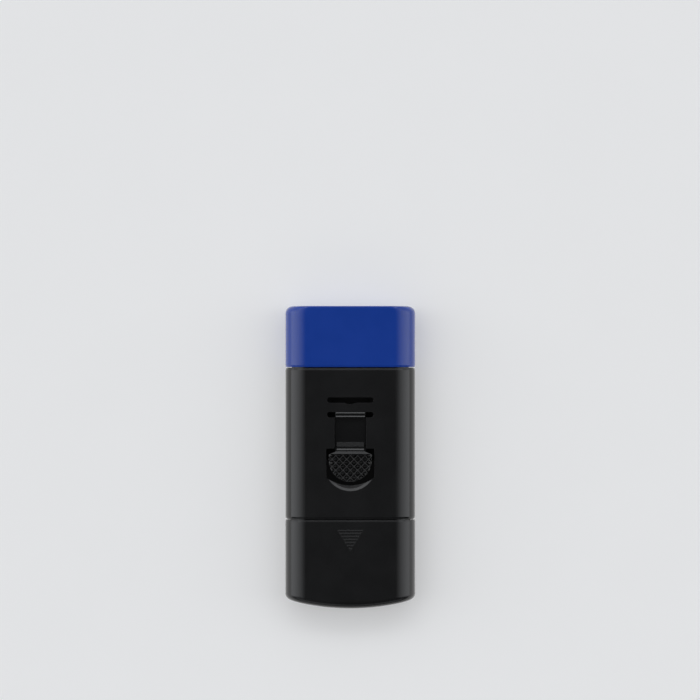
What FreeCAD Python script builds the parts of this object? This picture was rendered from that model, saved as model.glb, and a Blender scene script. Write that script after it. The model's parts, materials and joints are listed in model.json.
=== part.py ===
"""Retractable hob scraper: a flat moulded handle that pushes a single-edged blade out of a blue head.

Millimetres. The tool lies on its back: X is its width, +Y points to the blade, +Z out of its front.
The origin is on the resting surface, below the middle of the tool.
"""

import FreeCAD
import Part
import math
import os

Vector = FreeCAD.Vector

# Single-edged blade that the tool is made round: a thin strip with a folded back, notches and a slot
BLADE_WIDTH = 38.1
BLADE_DEPTH = 18.0
BLADE_THICKNESS = 0.25
BLADE_BEVEL = 1.4
BLADE_EDGE = 0.05
SPINE_SHEET = 0.35
SPINE_DEPTH = 4.5
BLADE_NOTCH_DEPTH = 3.0
BLADE_NOTCH_HEIGHT = 2.0
BLADE_SLOT_WIDTH = 1.6
BLADE_SLOT_LENGTH = 3.4
BLADE_LOCATOR_OFFSET = 8.6
LOCATOR_FIT = 0.2
LOCATOR_HEIGHT = 0.6

# How the blades lie in the head and in the drawer, which sets the length and width of both
BLADE_SIDE_FIT = 0.35
BLADE_RETRACTED = 1.2
BLADE_BACK_GAP = 0.65
SPARE_BACK_GAP = 5.9
SPARE_EDGE_GAP = 0.7

# Overall form: one flat section with round sides runs the whole length
BODY_THICKNESS = 13.0
HANDLE_LENGTH = 48.85
GUARD_CORNER_ROUND = 2.4
GUARD_EDGE_ROUND = 0.6
GUARD_END_STEPS = 6
DRAWER_END_ROUND = 2.2
DRAWER_BOW_RADIUS = 75.0

# Walls and the joints between the mouldings
SHELL_WALL = 1.8
GUARD_WALL = 1.6
GUARD_END_WALL = 1.8
DRAWER_WALL = 1.6
SEAM_GAP = 0.4
SEAM_BEVEL_RUN = 0.6
SEAM_BEVEL_DROP = 0.15
SEAM_DEPTH = 0.5
SEAM_LEDGE = 0.2
PARTING_CHAMFER = 0.2
SPIGOT_LENGTH = 6.0
SPIGOT_WALL = 1.3
SPIGOT_FIT = 0.2
COLLAR_LENGTH = 3.0
BLADE_PASSAGE = 3.4

# Blade mouth and the ribs inside the blue head
MOUTH_HEIGHT = 1.2
MOUTH_SIDE_FIT = 0.2
MOUTH_CHAMFER = 0.35
GUARD_RIB_WIDTH = 1.2
GUARD_RIB_INSET = 0.7
GUARD_RIB_CLEARANCE = 0.3
GUARD_RIB_SETBACK = 1.2

# Carriage: a plate on two runners, a blade table in front and a tower under the thumb pad
CARRIAGE_PLATE = 1.6
TABLE_FIT = 0.5
TABLE_FRONT_REACH = 12.3
TABLE_SHOULDER = 7.0
RUNNER_WIDTH = 1.6
RUNNER_CLEARANCE = 0.25
STOP_CLEARANCE = 0.5
WEB_WIDTH = 1.2
WEB_HEIGHT = 2.2
TOWER_WIDTH = 9.2
TOWER_WALL = 1.4
TOWER_AHEAD = 0.65

# Latch: two cross slots in the front, and a sprung tongue whose toothed ridge clicks into them
LATCH_FROM_SEAM = 15.13
LATCH_TRAVEL = 4.7
LATCH_SLOT_WIDTH = 15.0
LATCH_SLOT_HEIGHT = 1.75
LATCH_SLOT_DIMPLE = 0.45
LATCH_SLOT_DIMPLE_RADIUS = 4.5
WINDOW_WIDTH = 10.2
WINDOW_FIT = 0.4
TONGUE_WIDTH = 9.9
TONGUE_THICKNESS = 1.0
TONGUE_CLEARANCE = 0.2
RIDGE_WIDTH = 9.4
RIDGE_LENGTH = 1.6
RIDGE_BELOW_FRONT = 0.02
RIDGE_GROOVE = 0.5
TOOTH_LENGTH = 0.45
TOOTH_LAND = 0.1
TOOTH_DROP = 0.13

# Thumb pad with its diamond knurl, and the stepped nose in front of it
PAD_FROM_SEAM = 26.9
PAD_WIDTH = 13.8
PAD_LENGTH = 9.75
PAD_THICKNESS = 1.5
PAD_CLEARANCE = 0.2
PAD_EDGE_CHAMFER = 0.3
PAD_BEVEL_RUN = 0.85
PAD_BEVEL_DROP = 0.25
PAD_CORNER_RUN = 2.3
PAD_CORNER_DROP = 1.0
KNURL_PITCH = 1.66
KNURL_WIDTH = 1.6
KNURL_DEPTH = 0.82
NECK_WIDTH = 8.8
NECK_LENGTH = 4.95
NOSE_REACH = 2.9
NOSE_EDGE = 0.15
NOSE_RUN = 1.45
NOSE_RISE = 0.35
NOSE_GROOVE = 0.58
LIP_HEIGHT = 0.2
LIP_RUN = 0.45
LIP_DROP = 0.2
STEM_WIDTH = 5.0
STEM_SETBACK = 1.15
STEM_THICKNESS = 3.4
STEM_LENGTH = 3.0
STEM_FIT = 0.1

# Scoop in the front shell round the thumb pad: open ahead, a well beside the pad, a dish and rim behind
SCOOP_WIDTH = 15.5
SCOOP_AHEAD = 0.85
SCOOP_BEHIND = 3.05
SCOOP_SHOULDER = 2.25
SCOOP_RIM_RUN = 0.8
SCOOP_RIM_DROP = 0.37
SCOOP_DISH_RUN = 1.05
SCOOP_DISH_DROP = 0.27
SCOOP_WELL_DEPTH = 1.3
SCOOP_WELL_SHOULDER = 1.25
SCOOP_OPENING = 3.8

# Guides, and the pegs and sockets that join the two shells
GUIDE_CLEARANCE = 0.3
GUIDE_RIB_WIDTH = 0.9
GUIDE_RIB_HEIGHT = 3.8
HOLD_DOWN_INSET = 0.2
HOLD_DOWN_WIDTH = 1.2
PEG_SIZE = 1.8
PEG_LENGTH = 3.0
PEG_FIT = 0.05
POST_SIZE = 3.6
POST_GAP = 0.2
POST_INSET = 4.0

# Spare blade store in the drawer, and the ribbed arrow pressed into its front
SHELF_THICKNESS = 1.4
SHELF_SETBACK = 0.4
SPARE_BELOW_MIDDLE = 1.5
ROOF_RIB_WIDTH = 1.2
ROOF_RIB_CLEARANCE = 0.2
ARROW_WIDTH = 8.4
ARROW_HEIGHT = 6.9
ARROW_BELOW_SEAM = 3.2
ARROW_DEPTH = 0.15
ARROW_RIBS = 7
ARROW_RIB_PITCH = 0.98
ARROW_RIB_RUN = 0.5
ARROW_RIB_LAND = 0.1
ARROW_RIB_HEIGHT = 0.13

# Sizes and places that follow from those above
SIDE_WALL = max(GUARD_WALL, DRAWER_WALL)
BODY_WIDTH = BLADE_WIDTH + 2 * (BLADE_SIDE_FIT + SIDE_WALL)
HALF_WIDTH = BODY_WIDTH / 2
MIDDLE_Z = BODY_THICKNESS / 2
SIDE_CENTRE = HALF_WIDTH - MIDDLE_Z
BOW_INNER_RADIUS = DRAWER_BOW_RADIUS - DRAWER_WALL
BOW_AT_BLADE = DRAWER_BOW_RADIUS - math.sqrt(BOW_INNER_RADIUS ** 2 - (BLADE_WIDTH / 2) ** 2)
GUARD_LENGTH = BLADE_BACK_GAP + BLADE_DEPTH + BLADE_RETRACTED
DRAWER_LENGTH = SPARE_BACK_GAP + BLADE_DEPTH + SPARE_EDGE_GAP + BOW_AT_BLADE
TOP_Y = (GUARD_LENGTH + HANDLE_LENGTH + DRAWER_LENGTH) / 2
GUARD_SEAM_Y = TOP_Y - GUARD_LENGTH
DRAWER_SEAM_Y = GUARD_SEAM_Y - HANDLE_LENGTH
BOTTOM_Y = -TOP_Y
COLLAR_FRONT_Y = GUARD_SEAM_Y - COLLAR_LENGTH
COLLAR_REAR_Y = DRAWER_SEAM_Y + COLLAR_LENGTH
SPIGOT_OUTER_INSET = SIDE_WALL + SPIGOT_FIT
SPIGOT_INNER_INSET = SPIGOT_OUTER_INSET + SPIGOT_WALL
FRONT_INNER_Z = BODY_THICKNESS - SHELL_WALL
SPINE_THICKNESS = BLADE_THICKNESS + 2 * SPINE_SHEET
BLADE_BACK_Y = GUARD_SEAM_Y + BLADE_BACK_GAP
SPARE_BACK_Y = DRAWER_SEAM_Y - SPARE_BACK_GAP
BLADE_LOW_Z = MIDDLE_Z - BLADE_THICKNESS / 2
PLATE_TOP_Z = MIDDLE_Z - SPINE_THICKNESS / 2
PLATE_LOW_Z = PLATE_TOP_Z - CARRIAGE_PLATE
TONGUE_TOP_Z = FRONT_INNER_Z - TONGUE_CLEARANCE
TONGUE_LOW_Z = TONGUE_TOP_Z - TONGUE_THICKNESS
PAD_LOW_Z = BODY_THICKNESS + PAD_CLEARANCE
PAD_TOP_Z = PAD_LOW_Z + PAD_THICKNESS
LATCH_REAR_Y = GUARD_SEAM_Y - LATCH_FROM_SEAM
LATCH_FRONT_Y = LATCH_REAR_Y + LATCH_TRAVEL
PAD_FRONT_Y = GUARD_SEAM_Y - PAD_FROM_SEAM
PAD_REAR_Y = PAD_FRONT_Y - PAD_LENGTH
NECK_REAR_Y = PAD_FRONT_Y - NECK_LENGTH
STEM_FRONT_Y = PAD_FRONT_Y - STEM_SETBACK
STEM_REAR_Y = STEM_FRONT_Y - STEM_THICKNESS
TOWER_FRONT_Y = PAD_FRONT_Y + TOWER_AHEAD
TOWER_REAR_Y = STEM_REAR_Y - TOWER_WALL
POST_OFFSET = SIDE_CENTRE - POST_SIZE / 2
GUIDE_OFFSET = POST_OFFSET - POST_SIZE / 2 - POST_GAP - GUIDE_RIB_WIDTH / 2
CARRIAGE_HALF = GUIDE_OFFSET - GUIDE_RIB_WIDTH / 2 - GUIDE_CLEARANCE
HOLD_DOWN_OFFSET = CARRIAGE_HALF - HOLD_DOWN_INSET - HOLD_DOWN_WIDTH / 2
WEB_OFFSET = HOLD_DOWN_OFFSET - HOLD_DOWN_WIDTH / 2 - GUIDE_CLEARANCE - WEB_WIDTH / 2
CARRIAGE_REAR_Y = COLLAR_REAR_Y + GUIDE_CLEARANCE
SPARE_SPINE_LOW_Z = MIDDLE_Z - SPARE_BELOW_MIDDLE
BEYOND = 5.0
PLANE_TOLERANCE = 0.01

ACROSS = Vector(1, 0, 0)
ALONG = Vector(0, 1, 0)
UP = Vector(0, 0, 1)


def block(x0, x1, y0, y1, z0, z1):
    """A box between two corners."""
    return Part.makeBox(x1 - x0, y1 - y0, z1 - z0, Vector(x0, y0, z0))


def centred_block(width, y0, y1, z0, z1):
    """A box of that width about the middle plane."""
    return block(-width / 2, width / 2, y0, y1, z0, z1)


def twin_blocks(offset, width, y0, y1, z0, z1):
    """Two boxes of that width, one each side of the middle plane."""
    return [block(side * offset - width / 2, side * offset + width / 2, y0, y1, z0, z1) for side in (-1, 1)]


def section_outline(inset, side_inset, y):
    """The tool's flat round-sided section at y, taken in by inset at front and back and by side_inset."""
    radius = MIDDLE_Z - inset
    centre = HALF_WIDTH - side_inset - radius
    low_left = Vector(-centre, y, MIDDLE_Z - radius)
    low_right = Vector(centre, y, MIDDLE_Z - radius)
    high_right = Vector(centre, y, MIDDLE_Z + radius)
    high_left = Vector(-centre, y, MIDDLE_Z + radius)
    return Part.Wire([
        Part.LineSegment(low_left, low_right).toShape(),
        Part.Arc(low_right, Vector(centre + radius, y, MIDDLE_Z), high_right).toShape(),
        Part.LineSegment(high_right, high_left).toShape(),
        Part.Arc(high_left, Vector(-centre - radius, y, MIDDLE_Z), low_left).toShape(),
    ])


def solid_of_section(inset, y0, y1):
    """The section taken in by inset all round, between two places along the tool."""
    return Part.Face(section_outline(inset, inset, y0)).extrude(Vector(0, y1 - y0, 0))


def half_width_at(inset, z):
    """Half the width of the section, taken in by inset, at a height."""
    return SIDE_CENTRE + math.sqrt((MIDDLE_Z - inset) ** 2 - (z - MIDDLE_Z) ** 2)


def ring_of_section(outer_inset, inner_inset, y0, y1):
    """A tube wall between two insets of the section."""
    bore = solid_of_section(inner_inset, y0 - BEYOND, y1 + BEYOND)
    return solid_of_section(outer_inset, y0, y1).cut(bore)


def prism_across(points, width):
    """A profile of (y, z) points carried across the tool, centred on the middle plane."""
    corners = [Vector(-width / 2, y, z) for y, z in points]
    outline = Part.makePolygon(corners + corners[:1])
    return Part.Face(outline).extrude(Vector(width, 0, 0))


def square_post(size, x, y, z0, z1):
    """An upright square bar."""
    return block(x - size / 2, x + size / 2, y - size / 2, y + size / 2, z0, z1)


def round_ended_slot(length, height, x, y, z0, z1, turned=False):
    """A round-ended prism along X, or along Y when turned, standing between two heights."""
    radius = height / 2
    reach = length / 2 - radius
    a = Vector(-reach, -radius, 0)
    b = Vector(reach, -radius, 0)
    c = Vector(reach, radius, 0)
    d = Vector(-reach, radius, 0)
    outline = Part.Wire([
        Part.LineSegment(a, b).toShape(),
        Part.Arc(b, Vector(reach + radius, 0, 0), c).toShape(),
        Part.LineSegment(c, d).toShape(),
        Part.Arc(d, Vector(-reach - radius, 0, 0), a).toShape(),
    ])
    prism = Part.Face(outline).extrude(Vector(0, 0, z1 - z0))
    if turned:
        prism.rotate(Vector(0, 0, 0), UP, 90)
    prism.translate(Vector(x, y, z0))
    return prism


def thumb_outline(width, front, shoulder, rear, z):
    """A D-shaped outline: straight in front and at its sides, and an arc from shoulder to rear behind."""
    front_left = Vector(-width / 2, front, z)
    front_right = Vector(width / 2, front, z)
    right = Vector(width / 2, shoulder, z)
    left = Vector(-width / 2, shoulder, z)
    return Part.Wire([
        Part.LineSegment(front_left, front_right).toShape(),
        Part.LineSegment(front_right, right).toShape(),
        Part.Arc(right, Vector(0, rear, z), left).toShape(),
        Part.LineSegment(left, front_left).toShape(),
    ])


def lies_in_plane(edge, normal, place):
    """Whether an edge lies in the plane at that place along a direction."""
    return all(abs(point.dot(normal) - place) < PLANE_TOLERANCE for point in edge.discretize(3))


def edges_in_plane(shape, normal, place):
    """The shape's edges that lie in the plane at that place along a direction."""
    return [edge for edge in shape.Edges if lies_in_plane(edge, normal, place)]


def bevel_seam(shape, y):
    """Breaks the outer edge of a moulding's end with a long shallow bevel."""
    return shape.makeChamfer(SEAM_BEVEL_RUN, SEAM_BEVEL_DROP, edges_in_plane(shape, ALONG, y))


def handle_tube():
    """Both shells in one: the walls, the collars with a ledge in each seam, and the two spigots."""
    rear = DRAWER_SEAM_Y + SEAM_GAP / 2
    front = GUARD_SEAM_Y - SEAM_GAP / 2
    outer = bevel_seam(bevel_seam(solid_of_section(0, rear, front), rear), front)
    tube = outer.cut(solid_of_section(SHELL_WALL, rear - BEYOND, front + BEYOND))
    ledge_front = front + SEAM_LEDGE
    ledge_rear = rear - SEAM_LEDGE
    tube = tube.fuse(ring_of_section(SEAM_DEPTH, SPIGOT_INNER_INSET, COLLAR_FRONT_Y, ledge_front))
    tube = tube.fuse(ring_of_section(SEAM_DEPTH, SPIGOT_INNER_INSET, ledge_rear, COLLAR_REAR_Y))
    passage_low = MIDDLE_Z - BLADE_PASSAGE / 2
    passage_high = MIDDLE_Z + BLADE_PASSAGE / 2
    for start, end, mouth in (
        (COLLAR_FRONT_Y, GUARD_SEAM_Y + SPIGOT_LENGTH, (front, TOP_Y)),
        (DRAWER_SEAM_Y - SPIGOT_LENGTH, COLLAR_REAR_Y, (BOTTOM_Y, rear)),
    ):
        spigot = ring_of_section(SPIGOT_OUTER_INSET, SPIGOT_INNER_INSET, start, end)
        spigot = spigot.cut(centred_block(BODY_WIDTH, *mouth, passage_low, passage_high))
        tube = tube.fuse(spigot)
    return tube.removeSplitter()


def half_shell(low, high):
    """The part of the handle's tube between two heights, with its outer parting edges broken."""
    half = handle_tube().common(centred_block(2 * BODY_WIDTH, BOTTOM_Y, TOP_Y, low, high))
    parting = [
        edge
        for edge in edges_in_plane(half, UP, MIDDLE_Z)
        if abs(abs(edge.CenterOfMass.x) - HALF_WIDTH) < PLANE_TOLERANCE
    ]
    return half.makeChamfer(PARTING_CHAMFER, parting)


def peg_places():
    """Where the pegs and sockets of the two shells stand."""
    along = (COLLAR_REAR_Y + POST_INSET, COLLAR_FRONT_Y - POST_INSET)
    return [(side * POST_OFFSET, y) for side in (-1, 1) for y in along]


def scoop():
    """The recess round the thumb pad: a well for the pad, and behind it a dish with a steeper rim."""
    front = PAD_FRONT_Y + SCOOP_AHEAD
    shoulder = PAD_REAR_Y + SCOOP_SHOULDER
    rear = PAD_REAR_Y - SCOOP_BEHIND

    def outline(inset, depth):
        return thumb_outline(SCOOP_WIDTH - 2 * inset, front, shoulder, rear + inset, BODY_THICKNESS - depth)

    foot = SCOOP_RIM_RUN + SCOOP_DISH_RUN
    mouth = outline(0, 0)
    rim = outline(SCOOP_RIM_RUN, SCOOP_RIM_DROP)
    floor = outline(foot, SCOOP_RIM_DROP + SCOOP_DISH_DROP)
    dish = Part.makeLoft([floor, rim, mouth], True, True)
    above = Part.Face(mouth).extrude(UP)
    well_low = BODY_THICKNESS - SCOOP_WELL_DEPTH
    well_shoulder = PAD_REAR_Y + SCOOP_WELL_SHOULDER
    well = Part.Face(thumb_outline(SCOOP_WIDTH, front, well_shoulder, rear + foot, well_low))
    return dish.fuse([above, well.extrude(UP * BEYOND)])


def latch_slots():
    """The two cross slots that hold the blade in and out; the front one has a shallow dimple behind it."""
    low = FRONT_INNER_Z - BEYOND
    high = BODY_THICKNESS + BEYOND
    slots = [
        round_ended_slot(LATCH_SLOT_WIDTH, LATCH_SLOT_HEIGHT, 0, y, low, high)
        for y in (LATCH_REAR_Y, LATCH_FRONT_Y)
    ]
    dimple_y = LATCH_FRONT_Y - LATCH_SLOT_HEIGHT / 2 - LATCH_SLOT_DIMPLE + LATCH_SLOT_DIMPLE_RADIUS
    dimple = Part.makeCylinder(LATCH_SLOT_DIMPLE_RADIUS, high - low, Vector(0, dimple_y, low), UP)
    ahead = centred_block(BODY_WIDTH, LATCH_FRONT_Y, TOP_Y, low - 1, high + 1)
    return slots + [dimple.cut(ahead)]


def thumb_openings():
    """The window for the tongue and the pad's neck, and the wider gap ahead of the pad."""
    low = FRONT_INNER_Z - BEYOND
    high = BODY_THICKNESS + BEYOND
    front = PAD_FRONT_Y + SCOOP_AHEAD
    window = centred_block(WINDOW_WIDTH, NECK_REAR_Y - WINDOW_FIT, LATCH_REAR_Y, low, high)
    return [window, centred_block(SCOOP_WIDTH, front - SCOOP_OPENING, front, low, high)]


def front_shell():
    """The front half of the handle, with the latch slots, the window and the scoop."""
    shell = half_shell(MIDDLE_Z, BODY_THICKNESS)
    inside = solid_of_section(SHELL_WALL / 2, COLLAR_REAR_Y, COLLAR_FRONT_Y)
    hold_down_low = PLATE_TOP_Z + GUIDE_CLEARANCE
    stiffeners = twin_blocks(
        HOLD_DOWN_OFFSET, HOLD_DOWN_WIDTH, COLLAR_REAR_Y, COLLAR_FRONT_Y, hold_down_low, BODY_THICKNESS
    )
    stiffeners += [square_post(POST_SIZE, x, y, MIDDLE_Z, BODY_THICKNESS) for x, y in peg_places()]
    peg_low = MIDDLE_Z - PEG_LENGTH
    pegs = [square_post(PEG_SIZE, x, y, peg_low, FRONT_INNER_Z) for x, y in peg_places()]
    shell = shell.fuse([stiffener.common(inside) for stiffener in stiffeners] + pegs)
    return shell.cut(latch_slots() + thumb_openings() + [scoop()]).removeSplitter()


def back_shell():
    """The rear half of the handle, with the carriage's guide ribs and the sockets for the pegs."""
    shell = half_shell(0, MIDDLE_Z)
    inside = solid_of_section(SHELL_WALL / 2, COLLAR_REAR_Y, COLLAR_FRONT_Y)
    rib_top = SHELL_WALL + GUIDE_RIB_HEIGHT
    stiffeners = twin_blocks(GUIDE_OFFSET, GUIDE_RIB_WIDTH, COLLAR_REAR_Y, COLLAR_FRONT_Y, 0, rib_top)
    stiffeners += [square_post(POST_SIZE, x, y, 0, MIDDLE_Z) for x, y in peg_places()]
    shell = shell.fuse([stiffener.common(inside) for stiffener in stiffeners])
    socket_low = MIDDLE_Z - PEG_LENGTH - GUIDE_CLEARANCE
    socket_size = PEG_SIZE + 2 * PEG_FIT
    sockets = [square_post(socket_size, x, y, socket_low, MIDDLE_Z + 1) for x, y in peg_places()]
    return shell.cut(sockets).removeSplitter()


def quarter_round(radius, depth):
    """How far a quarter round stands in from its side, at a depth below the end that it rounds."""
    rise = radius - min(depth, radius)
    return radius - math.sqrt(radius ** 2 - rise ** 2)


def guard_block():
    """The head's outer form: its end is widely rounded at the sides, and narrowly along front and back."""
    rear = GUARD_SEAM_Y + SEAM_GAP / 2
    outlines = []
    for step in range(GUARD_END_STEPS + 1):
        turn = math.pi / 2 * step / GUARD_END_STEPS
        depth = GUARD_CORNER_ROUND * (1 - math.sin(turn))
        edge_inset = quarter_round(GUARD_EDGE_ROUND, depth)
        corner_inset = quarter_round(GUARD_CORNER_ROUND, depth)
        outlines.append(section_outline(edge_inset, corner_inset, TOP_Y - depth))
    straight = solid_of_section(0, rear, TOP_Y - GUARD_CORNER_ROUND)
    return bevel_seam(straight, rear).fuse(Part.makeLoft(outlines, True, True))


def blade_mouth(cavity_end):
    """The slit for the blade through the head's end wall, flared at the outside."""
    half = MOUTH_HEIGHT / 2
    flare = half + MOUTH_CHAMFER
    profile = [
        (cavity_end - 1, half),
        (TOP_Y - MOUTH_CHAMFER, half),
        (TOP_Y, flare),
        (TOP_Y + 1, flare),
    ]
    upper = [(y, MIDDLE_Z + z) for y, z in profile]
    lower = [(y, MIDDLE_Z - z) for y, z in reversed(profile)]
    return prism_across(upper + lower, BLADE_WIDTH + 2 * MOUTH_SIDE_FIT)


def blade_guard():
    """The blue head: a hollow cap with the blade mouth in its end and guide ribs inside."""
    rear = GUARD_SEAM_Y + SEAM_GAP / 2
    cavity_end = TOP_Y - GUARD_END_WALL
    guard = guard_block().cut(solid_of_section(GUARD_WALL, rear - BEYOND, cavity_end))
    rib_start = GUARD_SEAM_Y + SPIGOT_LENGTH + GUARD_RIB_SETBACK
    rib_offset = SIDE_CENTRE - GUARD_RIB_INSET
    upper_low = MIDDLE_Z + BLADE_THICKNESS / 2 + LOCATOR_HEIGHT + GUARD_RIB_CLEARANCE
    lower_high = PLATE_LOW_Z - GUARD_RIB_CLEARANCE
    ribs = twin_blocks(rib_offset, GUARD_RIB_WIDTH, rib_start, TOP_Y, upper_low, BODY_THICKNESS)
    ribs += twin_blocks(rib_offset, GUARD_RIB_WIDTH, rib_start, TOP_Y, 0, lower_high)
    rib_space = solid_of_section(GUARD_WALL / 2, rear, cavity_end + GUARD_END_WALL / 2)
    guard = guard.fuse([rib.common(rib_space) for rib in ribs])
    return guard.cut(blade_mouth(cavity_end)).removeSplitter()


def bow_limit(inset):
    """The space above the drawer's bowed end, taken in by inset."""
    bow_centre = Vector(0, BOTTOM_Y + DRAWER_BOW_RADIUS, -BEYOND)
    return Part.makeCylinder(DRAWER_BOW_RADIUS - inset, BODY_THICKNESS + 2 * BEYOND, bow_centre, UP)


def drawer_block():
    """The drawer's outer form: the section with a bowed, rounded end."""
    front = DRAWER_SEAM_Y - SEAM_GAP / 2
    outer = solid_of_section(0, BOTTOM_Y - BEYOND, front).common(bow_limit(0)).removeSplitter()
    bowed = [face for face in outer.Faces if face.CenterOfMass.y < BOTTOM_Y + DRAWER_END_ROUND]
    outer = outer.makeFillet(DRAWER_END_ROUND, bowed[0].Edges)
    return bevel_seam(outer, front)


def pressed_arrow():
    """What the arrow takes out of the drawer's front: a shallow triangle less its saw-toothed cross ribs."""
    top = DRAWER_SEAM_Y - ARROW_BELOW_SEAM
    floor = BODY_THICKNESS - ARROW_DEPTH
    below = floor - ARROW_DEPTH
    left = Vector(-ARROW_WIDTH / 2, top, floor)
    right = Vector(ARROW_WIDTH / 2, top, floor)
    tip = Vector(0, top - ARROW_HEIGHT, floor)
    recess = Part.Face(Part.makePolygon([left, right, tip, left])).extrude(UP)
    ribs = []
    for i in range(ARROW_RIBS):
        foot = top - i * ARROW_RIB_PITCH
        crest = foot - ARROW_RIB_RUN
        back = crest - ARROW_RIB_LAND
        crest_z = floor + ARROW_RIB_HEIGHT
        profile = [(foot, below), (foot, floor), (crest, crest_z), (back, crest_z), (back, below)]
        ribs.append(prism_across(profile, 2 * ARROW_WIDTH))
    return recess.cut(ribs)


def blade_drawer():
    """The end drawer: a cup with a bowed end, a shelf for the spare blades and ribs above them."""
    front = DRAWER_SEAM_Y - SEAM_GAP / 2
    cavity = solid_of_section(DRAWER_WALL, BOTTOM_Y, front + BEYOND).common(bow_limit(DRAWER_WALL))
    drawer = drawer_block().cut([cavity, pressed_arrow()])
    inside = solid_of_section(DRAWER_WALL / 2, BOTTOM_Y, front).common(bow_limit(DRAWER_WALL / 2))
    store_front = DRAWER_SEAM_Y - SPIGOT_LENGTH - SHELF_SETBACK
    spine_end = SPARE_BACK_Y - SPINE_DEPTH - LOCATOR_FIT
    ledge_z = SPARE_SPINE_LOW_Z + SPINE_SHEET
    shelf_low = SPARE_SPINE_LOW_Z - SHELF_THICKNESS
    roof_low = SPARE_SPINE_LOW_Z + 2 * SPINE_THICKNESS + ROOF_RIB_CLEARANCE
    pieces = twin_blocks(SIDE_CENTRE, ROOF_RIB_WIDTH, BOTTOM_Y, store_front, roof_low, BODY_THICKNESS)
    pieces.append(centred_block(BODY_WIDTH, BOTTOM_Y, store_front, shelf_low, SPARE_SPINE_LOW_Z))
    pieces.append(centred_block(BODY_WIDTH, BOTTOM_Y, spine_end, shelf_low, ledge_z))
    return drawer.fuse([piece.common(inside) for piece in pieces]).removeSplitter()


def blade_locators(table_half):
    """The peg in the blade's slot and the lugs in its side notches, on the carriage's table."""
    y = BLADE_BACK_Y + BLADE_LOCATOR_OFFSET
    top = MIDDLE_Z + BLADE_THICKNESS / 2 + LOCATOR_HEIGHT
    middle_peg = round_ended_slot(
        BLADE_SLOT_LENGTH - 2 * LOCATOR_FIT, BLADE_SLOT_WIDTH - 2 * LOCATOR_FIT,
        0, y, PLATE_LOW_Z, top, turned=True,
    )
    inner = BLADE_WIDTH / 2 - BLADE_NOTCH_DEPTH + BLADE_NOTCH_HEIGHT / 2
    half = BLADE_NOTCH_HEIGHT / 2 - LOCATOR_FIT
    lugs = twin_blocks((inner + table_half) / 2, table_half - inner, y - half, y + half, PLATE_LOW_Z, top)
    return [middle_peg] + lugs


def stem_space(low, high):
    """The hole that the pad's stem is pressed into."""
    return centred_block(
        STEM_WIDTH + 2 * STEM_FIT, STEM_REAR_Y - STEM_FIT, STEM_FRONT_Y + STEM_FIT, low, high
    )


def blade_carriage():
    """The sledge: plate, runners, webs, blade table with its locators, and the tower for the pad."""
    table_front = BLADE_BACK_Y + TABLE_FRONT_REACH
    shoulder = BLADE_BACK_Y + TABLE_SHOULDER
    neck_rear = GUARD_SEAM_Y + GUIDE_CLEARANCE
    ledge_rear = BLADE_BACK_Y + SPINE_DEPTH + LOCATOR_FIT
    neck_width = 2 * (half_width_at(SPIGOT_INNER_INSET, PLATE_LOW_Z) - TABLE_FIT)
    table_half = half_width_at(GUARD_WALL, PLATE_LOW_Z) - TABLE_FIT
    runner_front = COLLAR_FRONT_Y - LATCH_TRAVEL - STOP_CLEARANCE
    runner_low = SHELL_WALL + RUNNER_CLEARANCE
    runner_offset = CARRIAGE_HALF - RUNNER_WIDTH / 2
    web_top = PLATE_TOP_Z + WEB_HEIGHT
    plate = centred_block(2 * CARRIAGE_HALF, CARRIAGE_REAR_Y, shoulder, PLATE_LOW_Z, PLATE_TOP_Z)
    pieces = [
        centred_block(neck_width, neck_rear, table_front, PLATE_LOW_Z, PLATE_TOP_Z),
        centred_block(neck_width, ledge_rear, table_front, PLATE_LOW_Z, BLADE_LOW_Z),
        centred_block(2 * table_half, shoulder, table_front, PLATE_LOW_Z, BLADE_LOW_Z),
        centred_block(TOWER_WIDTH, TOWER_REAR_Y, TOWER_FRONT_Y, PLATE_LOW_Z, TONGUE_LOW_Z),
    ]
    pieces += twin_blocks(runner_offset, RUNNER_WIDTH, CARRIAGE_REAR_Y, runner_front, runner_low, PLATE_TOP_Z)
    pieces += twin_blocks(WEB_OFFSET, WEB_WIDTH, CARRIAGE_REAR_Y, runner_front, PLATE_LOW_Z, web_top)
    sledge = plate.fuse(pieces + blade_locators(table_half))
    socket_low = TONGUE_LOW_Z - STEM_LENGTH - STEM_FIT
    return sledge.cut(stem_space(socket_low, TONGUE_LOW_Z + 1)).removeSplitter()


def tooth(front, crest_z):
    """One tooth of the latch ridge as (y, z) points: a ramp ahead and a steep face behind."""
    rear = front - TOOTH_LENGTH
    return [(front, crest_z - TOOTH_DROP), (rear + TOOTH_LAND, crest_z), (rear, crest_z)]


def latch_tongue():
    """The spring tongue: a strip clamped on the tower, with two teeth across its free end."""
    tip = LATCH_REAR_Y + RIDGE_LENGTH / 2
    rear = LATCH_REAR_Y - RIDGE_LENGTH / 2
    crest_z = BODY_THICKNESS - RIDGE_BELOW_FRONT
    groove_z = crest_z - RIDGE_GROOVE
    outline = [(rear, TONGUE_LOW_Z), (tip, TONGUE_LOW_Z)] + tooth(tip, crest_z)
    outline += [(tip - TOOTH_LENGTH, groove_z), (rear + TOOTH_LENGTH, groove_z)]
    outline += tooth(rear + TOOTH_LENGTH, crest_z)
    strip = centred_block(TONGUE_WIDTH, TOWER_REAR_Y, tip, TONGUE_LOW_Z, TONGUE_TOP_Z)
    strip = strip.cut(stem_space(TONGUE_LOW_Z - 1, TONGUE_TOP_Z + 1))
    return strip.fuse(prism_across(outline, RIDGE_WIDTH)).removeSplitter()


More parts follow.
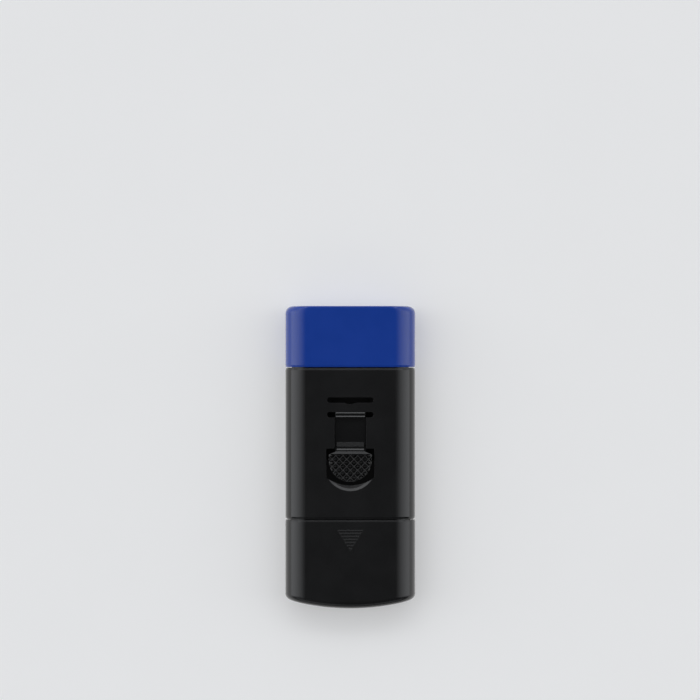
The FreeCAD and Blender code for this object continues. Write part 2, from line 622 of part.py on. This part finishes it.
def knurl_grooves():
    """Two crossing sets of V grooves over the pad's top."""
    span = 2 * PAD_WIDTH
    centre = Vector(0, (PAD_FRONT_Y + PAD_REAR_Y) / 2, 0)
    rows = math.ceil(PAD_WIDTH / KNURL_PITCH)
    half = KNURL_WIDTH / 2
    profile = [
        (-half, PAD_TOP_Z),
        (0, PAD_TOP_Z - KNURL_DEPTH),
        (half, PAD_TOP_Z),
        (0, PAD_TOP_Z + KNURL_DEPTH),
    ]
    grooves = []
    for turn in (45, -45):
        for row in range(-rows, rows + 1):
            groove = prism_across(profile, span)
            groove.translate(Vector(0, (row + 0.5) * KNURL_PITCH, 0))
            groove.rotate(Vector(0, 0, 0), UP, turn)
            groove.translate(centre)
            grooves.append(groove)
    return grooves


def pad_corners():
    """What the pad's slanted front corners take off its outline."""
    run = Vector(PAD_CORNER_RUN, -PAD_CORNER_DROP, 0)
    corners = []
    for side in (-1, 1):
        start = Vector(PAD_WIDTH / 2 - PAD_CORNER_RUN, PAD_FRONT_Y, PAD_LOW_Z - 1) - run
        end = start + run * 3
        points = [start, end, Vector(end.x, start.y, start.z)]
        points = [Vector(side * point.x, point.y, point.z) for point in points]
        corners.append(Part.Face(Part.makePolygon(points + points[:1])).extrude(UP * BEYOND))
    return corners


def pad_top():
    """The knurled D-shaped plate under the thumb, bevelled in front with its front corners slanted."""
    shoulder = PAD_REAR_Y + PAD_WIDTH / 2
    outline = thumb_outline(PAD_WIDTH, PAD_FRONT_Y, shoulder, PAD_REAR_Y, PAD_LOW_Z)
    pad = Part.Face(outline).extrude(UP * PAD_THICKNESS)
    rim = [
        edge
        for edge in edges_in_plane(pad, UP, PAD_TOP_Z)
        if edge.CenterOfMass.y < PAD_FRONT_Y - PLANE_TOLERANCE
    ]
    bevel_foot = PAD_TOP_Z - PAD_BEVEL_DROP
    bevel_rear = PAD_FRONT_Y - PAD_BEVEL_RUN
    bevel = prism_across(
        [
            (PAD_FRONT_Y, bevel_foot),
            (bevel_rear, PAD_TOP_Z),
            (bevel_rear, PAD_TOP_Z + 1),
            (PAD_FRONT_Y + 1, PAD_TOP_Z + 1),
            (PAD_FRONT_Y + 1, bevel_foot),
        ],
        2 * PAD_WIDTH,
    )
    ahead = centred_block(2 * PAD_WIDTH, bevel_rear, PAD_FRONT_Y + 1, PAD_LOW_Z - 1, PAD_TOP_Z + 1)
    grooves = [groove.cut(ahead) for groove in knurl_grooves()]
    return pad.makeChamfer(PAD_EDGE_CHAMFER, rim).cut([bevel] + grooves + pad_corners())


def thumb_pad():
    """The knurled pad, its stepped nose, the neck through the window and the stem in the tower."""
    nose_front = PAD_FRONT_Y + NOSE_REACH
    ramp_rear = nose_front - NOSE_RUN
    lip_front = ramp_rear - NOSE_GROOVE
    edge_z = TONGUE_TOP_Z + NOSE_EDGE
    lip_z = PAD_LOW_Z + LIP_HEIGHT
    nose = prism_across(
        [
            (STEM_FRONT_Y, TONGUE_TOP_Z),
            (nose_front, TONGUE_TOP_Z),
            (nose_front, edge_z),
            (ramp_rear, edge_z + NOSE_RISE),
            (ramp_rear, edge_z),
            (lip_front, edge_z),
            (lip_front, lip_z - LIP_DROP),
            (lip_front - LIP_RUN, lip_z),
            (STEM_FRONT_Y, lip_z),
        ],
        NECK_WIDTH,
    )
    neck = centred_block(NECK_WIDTH, NECK_REAR_Y, PAD_FRONT_Y, TONGUE_TOP_Z, PAD_LOW_Z)
    stem_low = TONGUE_LOW_Z - STEM_LENGTH
    stem = centred_block(STEM_WIDTH, STEM_REAR_Y, STEM_FRONT_Y, stem_low, TONGUE_TOP_Z)
    return pad_top().fuse([neck, nose, stem]).removeSplitter()


def blade_strip(back_y, facing, middle_z):
    """The blade's thin strip, ground to an edge, from its back towards facing, +1 or -1 along Y."""
    half = BLADE_THICKNESS / 2
    profile = [
        (SPINE_SHEET, -half),
        (BLADE_DEPTH - BLADE_BEVEL, -half),
        (BLADE_DEPTH, -BLADE_EDGE / 2),
        (BLADE_DEPTH, BLADE_EDGE / 2),
        (BLADE_DEPTH - BLADE_BEVEL, half),
        (SPINE_SHEET, half),
    ]
    strip = prism_across([(back_y + facing * y, middle_z + z) for y, z in profile], BLADE_WIDTH)
    locator_y = back_y + facing * BLADE_LOCATOR_OFFSET
    low = middle_z - BEYOND
    high = middle_z + BEYOND
    cuts = [round_ended_slot(BLADE_SLOT_LENGTH, BLADE_SLOT_WIDTH, 0, locator_y, low, high, turned=True)]
    for side in (-1, 1):
        x = side * BLADE_WIDTH / 2
        cuts.append(round_ended_slot(2 * BLADE_NOTCH_DEPTH, BLADE_NOTCH_HEIGHT, x, locator_y, low, high))
    return strip.cut(cuts)


def folded_spine(back_y, facing, middle_z):
    """The sheet folded over the blade's back."""
    half = SPINE_THICKNESS / 2
    inner = BLADE_THICKNESS / 2
    x = -BLADE_WIDTH / 2

    def corner(y, z):
        return Vector(x, back_y + facing * y, middle_z + z)

    outline = Part.Wire([
        Part.LineSegment(corner(SPINE_DEPTH, half), corner(half, half)).toShape(),
        Part.Arc(corner(half, half), corner(0, 0), corner(half, -half)).toShape(),
        Part.LineSegment(corner(half, -half), corner(SPINE_DEPTH, -half)).toShape(),
        Part.LineSegment(corner(SPINE_DEPTH, -half), corner(SPINE_DEPTH, -inner)).toShape(),
        Part.LineSegment(corner(SPINE_DEPTH, -inner), corner(SPINE_SHEET, -inner)).toShape(),
        Part.LineSegment(corner(SPINE_SHEET, -inner), corner(SPINE_SHEET, inner)).toShape(),
        Part.LineSegment(corner(SPINE_SHEET, inner), corner(SPINE_DEPTH, inner)).toShape(),
        Part.LineSegment(corner(SPINE_DEPTH, inner), corner(SPINE_DEPTH, half)).toShape(),
    ])
    return Part.Face(outline).extrude(ACROSS * BLADE_WIDTH)


def all_pieces():
    """Every piece of the tool by its node's name."""
    pieces = {
        "front_shell": front_shell(),
        "back_shell": back_shell(),
        "blade_guard": blade_guard(),
        "blade_drawer": blade_drawer(),
        "blade_carriage": blade_carriage(),
        "latch_tongue": latch_tongue(),
        "thumb_pad": thumb_pad(),
        "blade": blade_strip(BLADE_BACK_Y, 1, MIDDLE_Z),
        "blade_spine": folded_spine(BLADE_BACK_Y, 1, MIDDLE_Z),
    }
    for place, name in enumerate(("lower", "upper")):
        middle = SPARE_SPINE_LOW_Z + (place + 0.5) * SPINE_THICKNESS
        pieces[f"spare_blade_{name}"] = blade_strip(SPARE_BACK_Y, -1, middle)
        pieces[f"spare_spine_{name}"] = folded_spine(SPARE_BACK_Y, -1, middle)
    return pieces


os.makedirs("parts", exist_ok=True)
for node, shape in all_pieces().items():
    print(f"{node}: {len(shape.Solids)} solid, valid {shape.isValid()}, {shape.Volume:.1f} mm3")
    shape.exportStep(f"parts/{node}.step")
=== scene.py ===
"""Hob scraper: the finishes of its mouldings and blades, a pale floor, a light tent and the camera.

Metres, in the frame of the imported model: the tool lies on its back, its blade end towards +Y.
"""

import json

import bpy
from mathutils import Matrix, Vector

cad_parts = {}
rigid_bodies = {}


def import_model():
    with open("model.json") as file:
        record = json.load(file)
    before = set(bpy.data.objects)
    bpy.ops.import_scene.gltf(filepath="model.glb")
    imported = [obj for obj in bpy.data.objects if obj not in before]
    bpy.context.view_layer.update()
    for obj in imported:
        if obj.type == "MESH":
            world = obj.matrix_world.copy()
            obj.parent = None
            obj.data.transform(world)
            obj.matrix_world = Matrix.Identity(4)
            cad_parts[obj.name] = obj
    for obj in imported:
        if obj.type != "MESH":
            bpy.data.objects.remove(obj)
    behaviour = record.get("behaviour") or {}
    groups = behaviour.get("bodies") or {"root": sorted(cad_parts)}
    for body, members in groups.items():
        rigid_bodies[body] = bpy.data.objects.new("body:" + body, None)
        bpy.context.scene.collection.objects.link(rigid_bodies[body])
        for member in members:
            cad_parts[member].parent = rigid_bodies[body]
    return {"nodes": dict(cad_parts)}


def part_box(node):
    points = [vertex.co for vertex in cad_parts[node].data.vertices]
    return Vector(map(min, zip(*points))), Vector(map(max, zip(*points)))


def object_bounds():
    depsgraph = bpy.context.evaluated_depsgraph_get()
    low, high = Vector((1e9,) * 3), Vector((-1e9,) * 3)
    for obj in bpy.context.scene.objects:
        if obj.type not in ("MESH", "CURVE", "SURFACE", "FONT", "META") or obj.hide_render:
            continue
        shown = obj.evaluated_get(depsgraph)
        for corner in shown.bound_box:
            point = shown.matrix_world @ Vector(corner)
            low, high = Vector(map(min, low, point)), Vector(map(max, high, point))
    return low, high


MM = 0.001
ALONG_X = (1, 0, 0)
ALONG_Y = (0, 1, 0)
ALONG_Z = (0, 0, 1)

# The view: straight down on the front, the tool's middle below the middle of the picture
PICTURE_PIXELS = 700
TOOL_WIDTH_PIXELS = 130.0
TOOL_MIDDLE_PIXEL = (350.3, 456.9)
CAMERA_HEIGHT = 1.3
SENSOR_WIDTH = 36.0

# The light tent: dark overhead, bright walls at the sides, a panel beyond the blade end and a dim rear
TENT_TINT = (0.98, 1.0, 1.03)
TENT_TOP = 0.04
TENT_WALLS = 1.95
TENT_LEFT = 0.20
TENT_PANEL = 2.35
TENT_REAR = 0.5
BACKDROP = 0.80

# Where the tent's parts begin and are full, as how far a direction of length 1 reaches along an axis
WALLS_OUTWARD = (0.08, 0.95)
WALLS_FORWARD = (-0.45, 0.05)
WALLS_DIM_FORWARD = (0.15, 0.5)
WALLS_DIMMING = 0.75
LEFT_OUTWARD = (0.0, 0.25)
PANEL_OUTWARD = (0.42, 0.66)
PANEL_FORWARD = (0.05, 0.3)
PANEL_UPWARD = (0.55, 0.73)
PANEL_LOW_SHARE = 0.16
PANEL_SIDE_SHARE = 0.35
REAR_BACKWARD = (0.45, 0.7)
REAR_UPWARD = (0.2, 0.35)
REAR_DIM_UPWARD = (0.5, 0.65)

# Linear colours, dark and pale, of the mouldings, the metals and the floor
BLACK_SHADES = ((0.0056, 0.0056, 0.0058), (0.0074, 0.0074, 0.0077))
# Painted shade: the carriage's colours are darker than the black mouldings', so that it looks shaded
# through the slots
CARRIAGE_PAINTED_SHADE_TONES = ((0.0012, 0.0012, 0.0012), (0.0020, 0.0020, 0.0020))
BLUE_SHADES = ((0.0050, 0.0400, 0.2850), (0.0064, 0.0440, 0.3100))
BLADE_SHADES = ((0.4032, 0.4104, 0.4176), (0.56, 0.57, 0.58))
SPINE_SHADES = ((0.294, 0.301, 0.315), (0.42, 0.43, 0.45))
FLOOR_SHADES = ((0.873, 0.873, 0.873), (0.90, 0.90, 0.90))
# Painted shade: the colour of the slots and the scoop below the front face
POCKET_PAINTED_SHADE = (0.0012, 0.0012, 0.0012)
# Painted shade: the colour of the knurl's facets
KNURL_PAINTED_SHADE = (0.0, 0.0, 0.0)
# Painted highlight: the pale colour painted in the knurl's grooves
KNURL_PAINTED_HIGHLIGHT = (0.06, 0.06, 0.06)

# The mouldings' roughness and shine
SATIN = 0.22
SMOOTH = 0.17
MATT = 0.60
SHINE = 0.5
PAD_SHINE = 0.55
CARRIAGE_SHINE = 0.3

# The mouldings' flow clouds, mould grain and soft edges
FLOW_CLOUDS = 9 * MM
MOULD_GRAIN = 0.30 * MM
GRAIN_DEPTH = 0.0025 * MM
MOULDED_EDGE = 0.06 * MM

# The pockets below the front face, which get painted shade, and the knurl on the pad, with painted shade
# on its facets and a painted highlight in its grooves
POCKET_DROP = 0.85 * MM
POCKET_POLISH = 0.08
KNURL_LENGTH = 8.79 * MM
KNURL_DEPTH = 0.82 * MM
PAINTED_HIGHLIGHT_FADE = 0.26 * MM
EDGE_FADE = 0.1 * MM

# The blades' lines, clouds, ground bevel and soft edges
ROLLED_LINES = 0.10 * MM
GROUND_LINES = 0.06 * MM
STEEL_CLOUDS = 5 * MM
LINES_DEPTH = 0.003 * MM
BLADE_BEVEL = 1.4 * MM
BEVEL_BLUR = 0.03
BLADE_EDGE = 0.03 * MM
BLADE_ROUGHNESS = 0.27

# The folded backs' lines, press marks and soft edges
SHEET_LINES = 0.14 * MM
PRESS_MARKS = 1.6 * MM
MARKS_DEPTH = 0.006 * MM
SHEET_EDGE = 0.05 * MM
SHEET_ROUGHNESS = 0.36

# The floor lies a little below the tool's back, so that their faces don't coincide
FLOOR_SIZE = 6.0
FLOOR_GAP = 0.05 * MM
FLOOR_CLOUDS = 30 * MM
FLOOR_ROUGHNESS = 0.85
FLOOR_WHITE_SHARE = 0.3

# The sockets of a Mix node that mixes colours, and the rays of a soft edge
MIX_FACTOR = 0
MIX_LOW = 6
MIX_HIGH = 7
MIX_RESULT = 2
EDGE_RAYS = 6


class Signal:
    """A shader socket used in arithmetic: each operation adds one Math node."""

    def __init__(self, shading, socket):
        self.shading = shading
        self.socket = socket

    def math(self, operation, *terms):
        return self.shading.node("ShaderNodeMath", {"operation": operation}, dict(enumerate(terms)))

    def __add__(self, other):
        return self.math("ADD", self, other)

    def __radd__(self, other):
        return self.math("ADD", other, self)

    def __sub__(self, other):
        return self.math("SUBTRACT", self, other)

    def __rsub__(self, other):
        return self.math("SUBTRACT", other, self)

    def __mul__(self, other):
        return self.math("MULTIPLY", self, other)

    def __rmul__(self, other):
        return self.math("MULTIPLY", other, self)

    def __pow__(self, other):
        return self.math("POWER", self, other)

    def ramp(self, low, high, shape="SMOOTHSTEP"):
        """0 below low, 1 above high, smooth or straight between."""
        inputs = {"Value": self, "From Min": low, "From Max": high}
        return self.shading.node("ShaderNodeMapRange", {"interpolation_type": shape}, inputs)


class Shading:
    """A node tree that is built node by node."""

    def __init__(self, tree):
        self.tree = tree

    def node(self, kind, settings=None, inputs=None, output=0):
        made = self.tree.nodes.new(kind)
        for name, value in (settings or {}).items():
            setattr(made, name, value)
        for name, value in (inputs or {}).items():
            self.feed(made.inputs[name], value)
        return Signal(self, made.outputs[output])

    def feed(self, socket, value):
        if isinstance(value, Signal):
            self.tree.links.new(value.socket, socket)
        else:
            socket.default_value = value

    def along(self, vector, axis):
        """How far a vector reaches along an axis."""
        settings = {"operation": "DOT_PRODUCT"}
        return self.node("ShaderNodeVectorMath", settings, {0: vector, 1: axis}, "Value")


class Finish(Shading):
    """A material with one Principled shader."""

    def __init__(self, name):
        self.material = bpy.data.materials.new(name)
        self.material.use_nodes = True
        super().__init__(self.material.node_tree)
        self.shader = self.tree.nodes["Principled BSDF"]
        self.place = self.node("ShaderNodeTexCoord", output="Object")

    def set(self, **sockets):
        """Sets the Principled shader's sockets, named in lower case with underscores."""
        for name, value in sockets.items():
            self.feed(self.shader.inputs[name.replace("_", " ").title().replace("Ior", "IOR")], value)

    def noise(self, grain, detail=2.0, stretch=(1, 1, 1)):
        """Noise whose grain is a length in metres, stretched along the axes by these factors."""
        scale = [1 / (grain * factor) for factor in stretch]
        place = self.node("ShaderNodeVectorMath", {"operation": "MULTIPLY"}, {0: self.place, 1: scale})
        return self.node("ShaderNodeTexNoise", None, {"Vector": place, "Scale": 1.0, "Detail": detail})

    def mix(self, factor, low, high):
        """A colour between two colours."""
        low = low if isinstance(low, Signal) else (*low, 1)
        high = high if isinstance(high, Signal) else (*high, 1)
        inputs = {MIX_FACTOR: factor, MIX_LOW: low, MIX_HIGH: high}
        return self.node("ShaderNodeMix", {"data_type": "RGBA"}, inputs, MIX_RESULT)

    def behind(self, direction, place, fade):
        """1 behind a place along a direction, and 0 from fade metres past it."""
        return 1 - self.along(self.place, direction).ramp(place, place + fade)

    def soft_edges(self, radius):
        """A normal that turns round the edges as if they were rounded by this radius."""
        return self.node("ShaderNodeBevel", {"samples": EDGE_RAYS}, {"Radius": radius})

    def bump(self, height, depth, normal):
        """A normal bumped by height, where 1 stands depth metres proud."""
        inputs = {"Height": height, "Distance": depth, "Strength": 1.0, "Normal": normal}
        return self.node("ShaderNodeBump", None, inputs)


def moulded_plastic(name, shades, roughness, shine=SHINE, marks=None):
    """Satin plastic from a spark-eroded mould: fine even grain, faint flow clouds and soft edges.

    Marks is a function that changes the colour and the roughness in places.
    """
    finish = Finish(name)
    clouds = finish.noise(FLOW_CLOUDS, detail=3)
    grain = finish.noise(MOULD_GRAIN, detail=2)
    colour = finish.mix(clouds.ramp(0.3, 0.7) * 0.7 + grain * 0.3, *shades)
    satin = roughness - 0.03 + 0.06 * clouds + 0.05 * (grain - 0.5)
    if marks:
        colour, satin = marks(finish, colour, satin)
    finish.set(
        base_color=colour,
        roughness=satin,
        normal=finish.bump(grain, GRAIN_DEPTH, finish.soft_edges(MOULDED_EDGE)),
        specular_ior_level=shine,
    )
    return finish.material


def pocket_painted_shade(finish, colour, satin):
    """Painted shade: the slots and the scoop get a darker colour below the front face, and are smoother
    there.
    """
    front_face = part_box("front_shell")[1][2]
    pocket = finish.behind(ALONG_Z, front_face - POCKET_DROP, EDGE_FADE)
    return finish.mix(pocket, colour, POCKET_PAINTED_SHADE), satin - POCKET_POLISH * pocket


def knurl_painted_light(finish, colour, satin):
    """Painted shade and painted highlight: the knurl's facets are painted black, and a pale band is
    painted in its grooves as a highlight.
    """
    low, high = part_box("thumb_pad")
    groove_floor = high[2] - KNURL_DEPTH
    knurl = finish.behind(ALONG_Y, low[1] + KNURL_LENGTH, EDGE_FADE)
    below = finish.behind(ALONG_Z, groove_floor - 2 * EDGE_FADE, EDGE_FADE)
    painted_highlight = finish.behind(ALONG_Z, groove_floor, PAINTED_HIGHLIGHT_FADE) - below
    return finish.mix(knurl * painted_highlight, finish.mix(knurl, colour, KNURL_PAINTED_SHADE), KNURL_PAINTED_HIGHLIGHT), satin


def blade_steel(name, edge_y, facing):
    """Rolled strip with lines along the blade, and a bevel at its edge ground across them.

    The edge is at edge_y, and facing is 1 where it points towards +Y and -1 where it points towards -Y.
    """
    finish = Finish(name)
    rolled = finish.noise(ROLLED_LINES, detail=3, stretch=(80, 1, 1))
    ground = finish.noise(GROUND_LINES, detail=2, stretch=(1, 30, 1))
    clouds = finish.noise(STEEL_CLOUDS, detail=2)
    inward = facing * (edge_y - finish.along(finish.place, ALONG_Y))
    bevel = 1 - inward.ramp((1 - BEVEL_BLUR) * BLADE_BEVEL, (1 + BEVEL_BLUR) * BLADE_BEVEL)
    lines = rolled + bevel * (ground - rolled)
    finish.set(
        base_color=finish.mix(lines * 0.6 + clouds * 0.2 + bevel * 0.2, *BLADE_SHADES),
        metallic=1.0,
        roughness=BLADE_ROUGHNESS + 0.14 * (lines - 0.5) + 0.10 * (clouds - 0.5) - 0.06 * bevel,
        normal=finish.bump(lines, LINES_DEPTH, finish.soft_edges(BLADE_EDGE)),
    )
    return finish.material


def spine_steel(name):
    """Folded sheet: duller than the blade, with faint press marks."""
    finish = Finish(name)
    lines = finish.noise(SHEET_LINES, detail=3, stretch=(50, 1, 1))
    pressed = finish.noise(PRESS_MARKS, detail=3)
    finish.set(
        base_color=finish.mix(lines * 0.5 + pressed * 0.5, *SPINE_SHADES),
        metallic=1.0,
        roughness=SHEET_ROUGHNESS + 0.12 * (lines - 0.5) + 0.16 * (pressed - 0.5),
        normal=finish.bump(lines * 0.6 + pressed * 0.4, MARKS_DEPTH, finish.soft_edges(SHEET_EDGE)),
    )
    return finish.material


def finish_nodes(nodes):
    """Gives every piece of the frame its material."""
    blade_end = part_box("blade")[1][1]
    spare_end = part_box("spare_blade_lower")[0][1]
    wearers = {
        moulded_plastic("black_moulding", BLACK_SHADES, SATIN): ("back_shell", "blade_drawer"),
        moulded_plastic("front_moulding", BLACK_SHADES, SATIN, SHINE, pocket_painted_shade): ("front_shell",),
        moulded_plastic("pad_moulding", BLACK_SHADES, SATIN, PAD_SHINE, knurl_painted_light): ("thumb_pad",),
        moulded_plastic("tongue_moulding", BLACK_SHADES, SMOOTH): ("latch_tongue",),
        moulded_plastic("carriage_moulding", CARRIAGE_PAINTED_SHADE_TONES, MATT, CARRIAGE_SHINE): ("blade_carriage",),
        moulded_plastic("blue_moulding", BLUE_SHADES, SATIN): ("blade_guard",),
        blade_steel("blade_steel", blade_end, 1): ("blade",),
        blade_steel("spare_blade_steel", spare_end, -1): ("spare_blade_lower", "spare_blade_upper"),
        spine_steel("spine_steel"): ("blade_spine", "spare_spine_lower", "spare_spine_upper"),
    }
    for material, names in wearers.items():
        for name in names:
            for slot in nodes[name].material_slots:
                slot.material = material


def make_floor():
    """A wide pale floor under the tool, white to glossy surfaces and lightened to the camera."""
    finish = Finish("floor_pale")
    clouds = finish.noise(FLOOR_CLOUDS, detail=3)
    finish.set(base_color=finish.mix(clouds, *FLOOR_SHADES), roughness=FLOOR_ROUGHNESS)
    mirrored = finish.node("ShaderNodeLightPath", output="Is Glossy Ray")
    seen = finish.node("ShaderNodeLightPath", output="Is Camera Ray")
    white = finish.node("ShaderNodeEmission", None, {"Color": (1, 1, 1, 1), "Strength": 1.0})
    lit = Signal(finish, finish.shader.outputs[0])
    share = mirrored + FLOOR_WHITE_SHARE * seen
    shown = finish.node("ShaderNodeMixShader", None, {0: share, 1: lit, 2: white})
    finish.feed(finish.tree.nodes["Material Output"].inputs["Surface"], shown)
    bpy.ops.mesh.primitive_plane_add(size=FLOOR_SIZE, location=(0, 0, -FLOOR_GAP))
    floor = bpy.context.object
    floor.name = "floor"
    floor.data.materials.append(finish.material)


def light_the_tool():
    """Lights the tool from the world as from a tent, with an even backdrop past the floor's edge."""
    world = bpy.data.worlds.new("light_tent")
    world.use_nodes = True
    tent = Shading(world.node_tree)
    direction = tent.node("ShaderNodeTexCoord", output="Generated")
    across = tent.along(direction, ALONG_X)
    ahead = tent.along(direction, ALONG_Y)
    height = tent.along(direction, ALONG_Z)
    side = across.math("ABSOLUTE", across)
    outward = (ahead * ahead + PANEL_SIDE_SHARE * across * across) ** 0.5
    walls = side.ramp(*WALLS_OUTWARD, "LINEAR") * ahead.ramp(*WALLS_FORWARD)
    walls_dimmed = 1 - WALLS_DIMMING * ahead.ramp(*WALLS_DIM_FORWARD)
    left = (0 - across).ramp(*LEFT_OUTWARD)
    panel = outward.ramp(*PANEL_OUTWARD) * ahead.ramp(*PANEL_FORWARD)
    panel_dimmed = PANEL_LOW_SHARE + (1 - PANEL_LOW_SHARE) * height.ramp(*PANEL_UPWARD)
    rear = (0 - ahead).ramp(*REAR_BACKWARD) * height.ramp(*REAR_UPWARD)
    rear_dimmed = 1 - height.ramp(*REAR_DIM_UPWARD)
    sides = TENT_WALLS * walls * walls_dimmed + TENT_LEFT * left
    ends = TENT_PANEL * panel * panel_dimmed + TENT_REAR * rear * rear_dimmed
    seen = tent.node("ShaderNodeLightPath", output="Is Camera Ray")
    background = world.node_tree.nodes["Background"].inputs
    tent.feed(background["Color"], (*TENT_TINT, 1))
    tent.feed(background["Strength"], seen * BACKDROP + (1 - seen) * (TENT_TOP + sides + ends))
    bpy.context.scene.world = world


def place_camera(low, high):
    """Looks straight down, so that the tool's width and middle fall on their pixels."""
    metres_per_pixel = (high.x - low.x) / TOOL_WIDTH_PIXELS
    centre = PICTURE_PIXELS / 2
    data = bpy.data.cameras.new("camera")
    data.sensor_width = SENSOR_WIDTH
    data.lens = SENSOR_WIDTH * CAMERA_HEIGHT / (PICTURE_PIXELS * metres_per_pixel)
    camera = bpy.data.objects.new("camera", data)
    bpy.context.scene.collection.objects.link(camera)
    middle = (low + high) / 2
    camera.location = (
        middle.x + (centre - TOOL_MIDDLE_PIXEL[0]) * metres_per_pixel,
        middle.y + (TOOL_MIDDLE_PIXEL[1] - centre) * metres_per_pixel,
        middle.z + CAMERA_HEIGHT,
    )
    bpy.context.scene.camera = camera


def clear_scene():
    """Removes what a new file starts with."""
    for thing in list(bpy.data.objects):
        bpy.data.objects.remove(thing)


clear_scene()
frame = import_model()
cad_low, cad_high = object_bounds()
finish_nodes(frame["nodes"])
make_floor()
light_the_tool()
place_camera(cad_low, cad_high)
bpy.context.scene.view_settings.view_transform = "Standard"
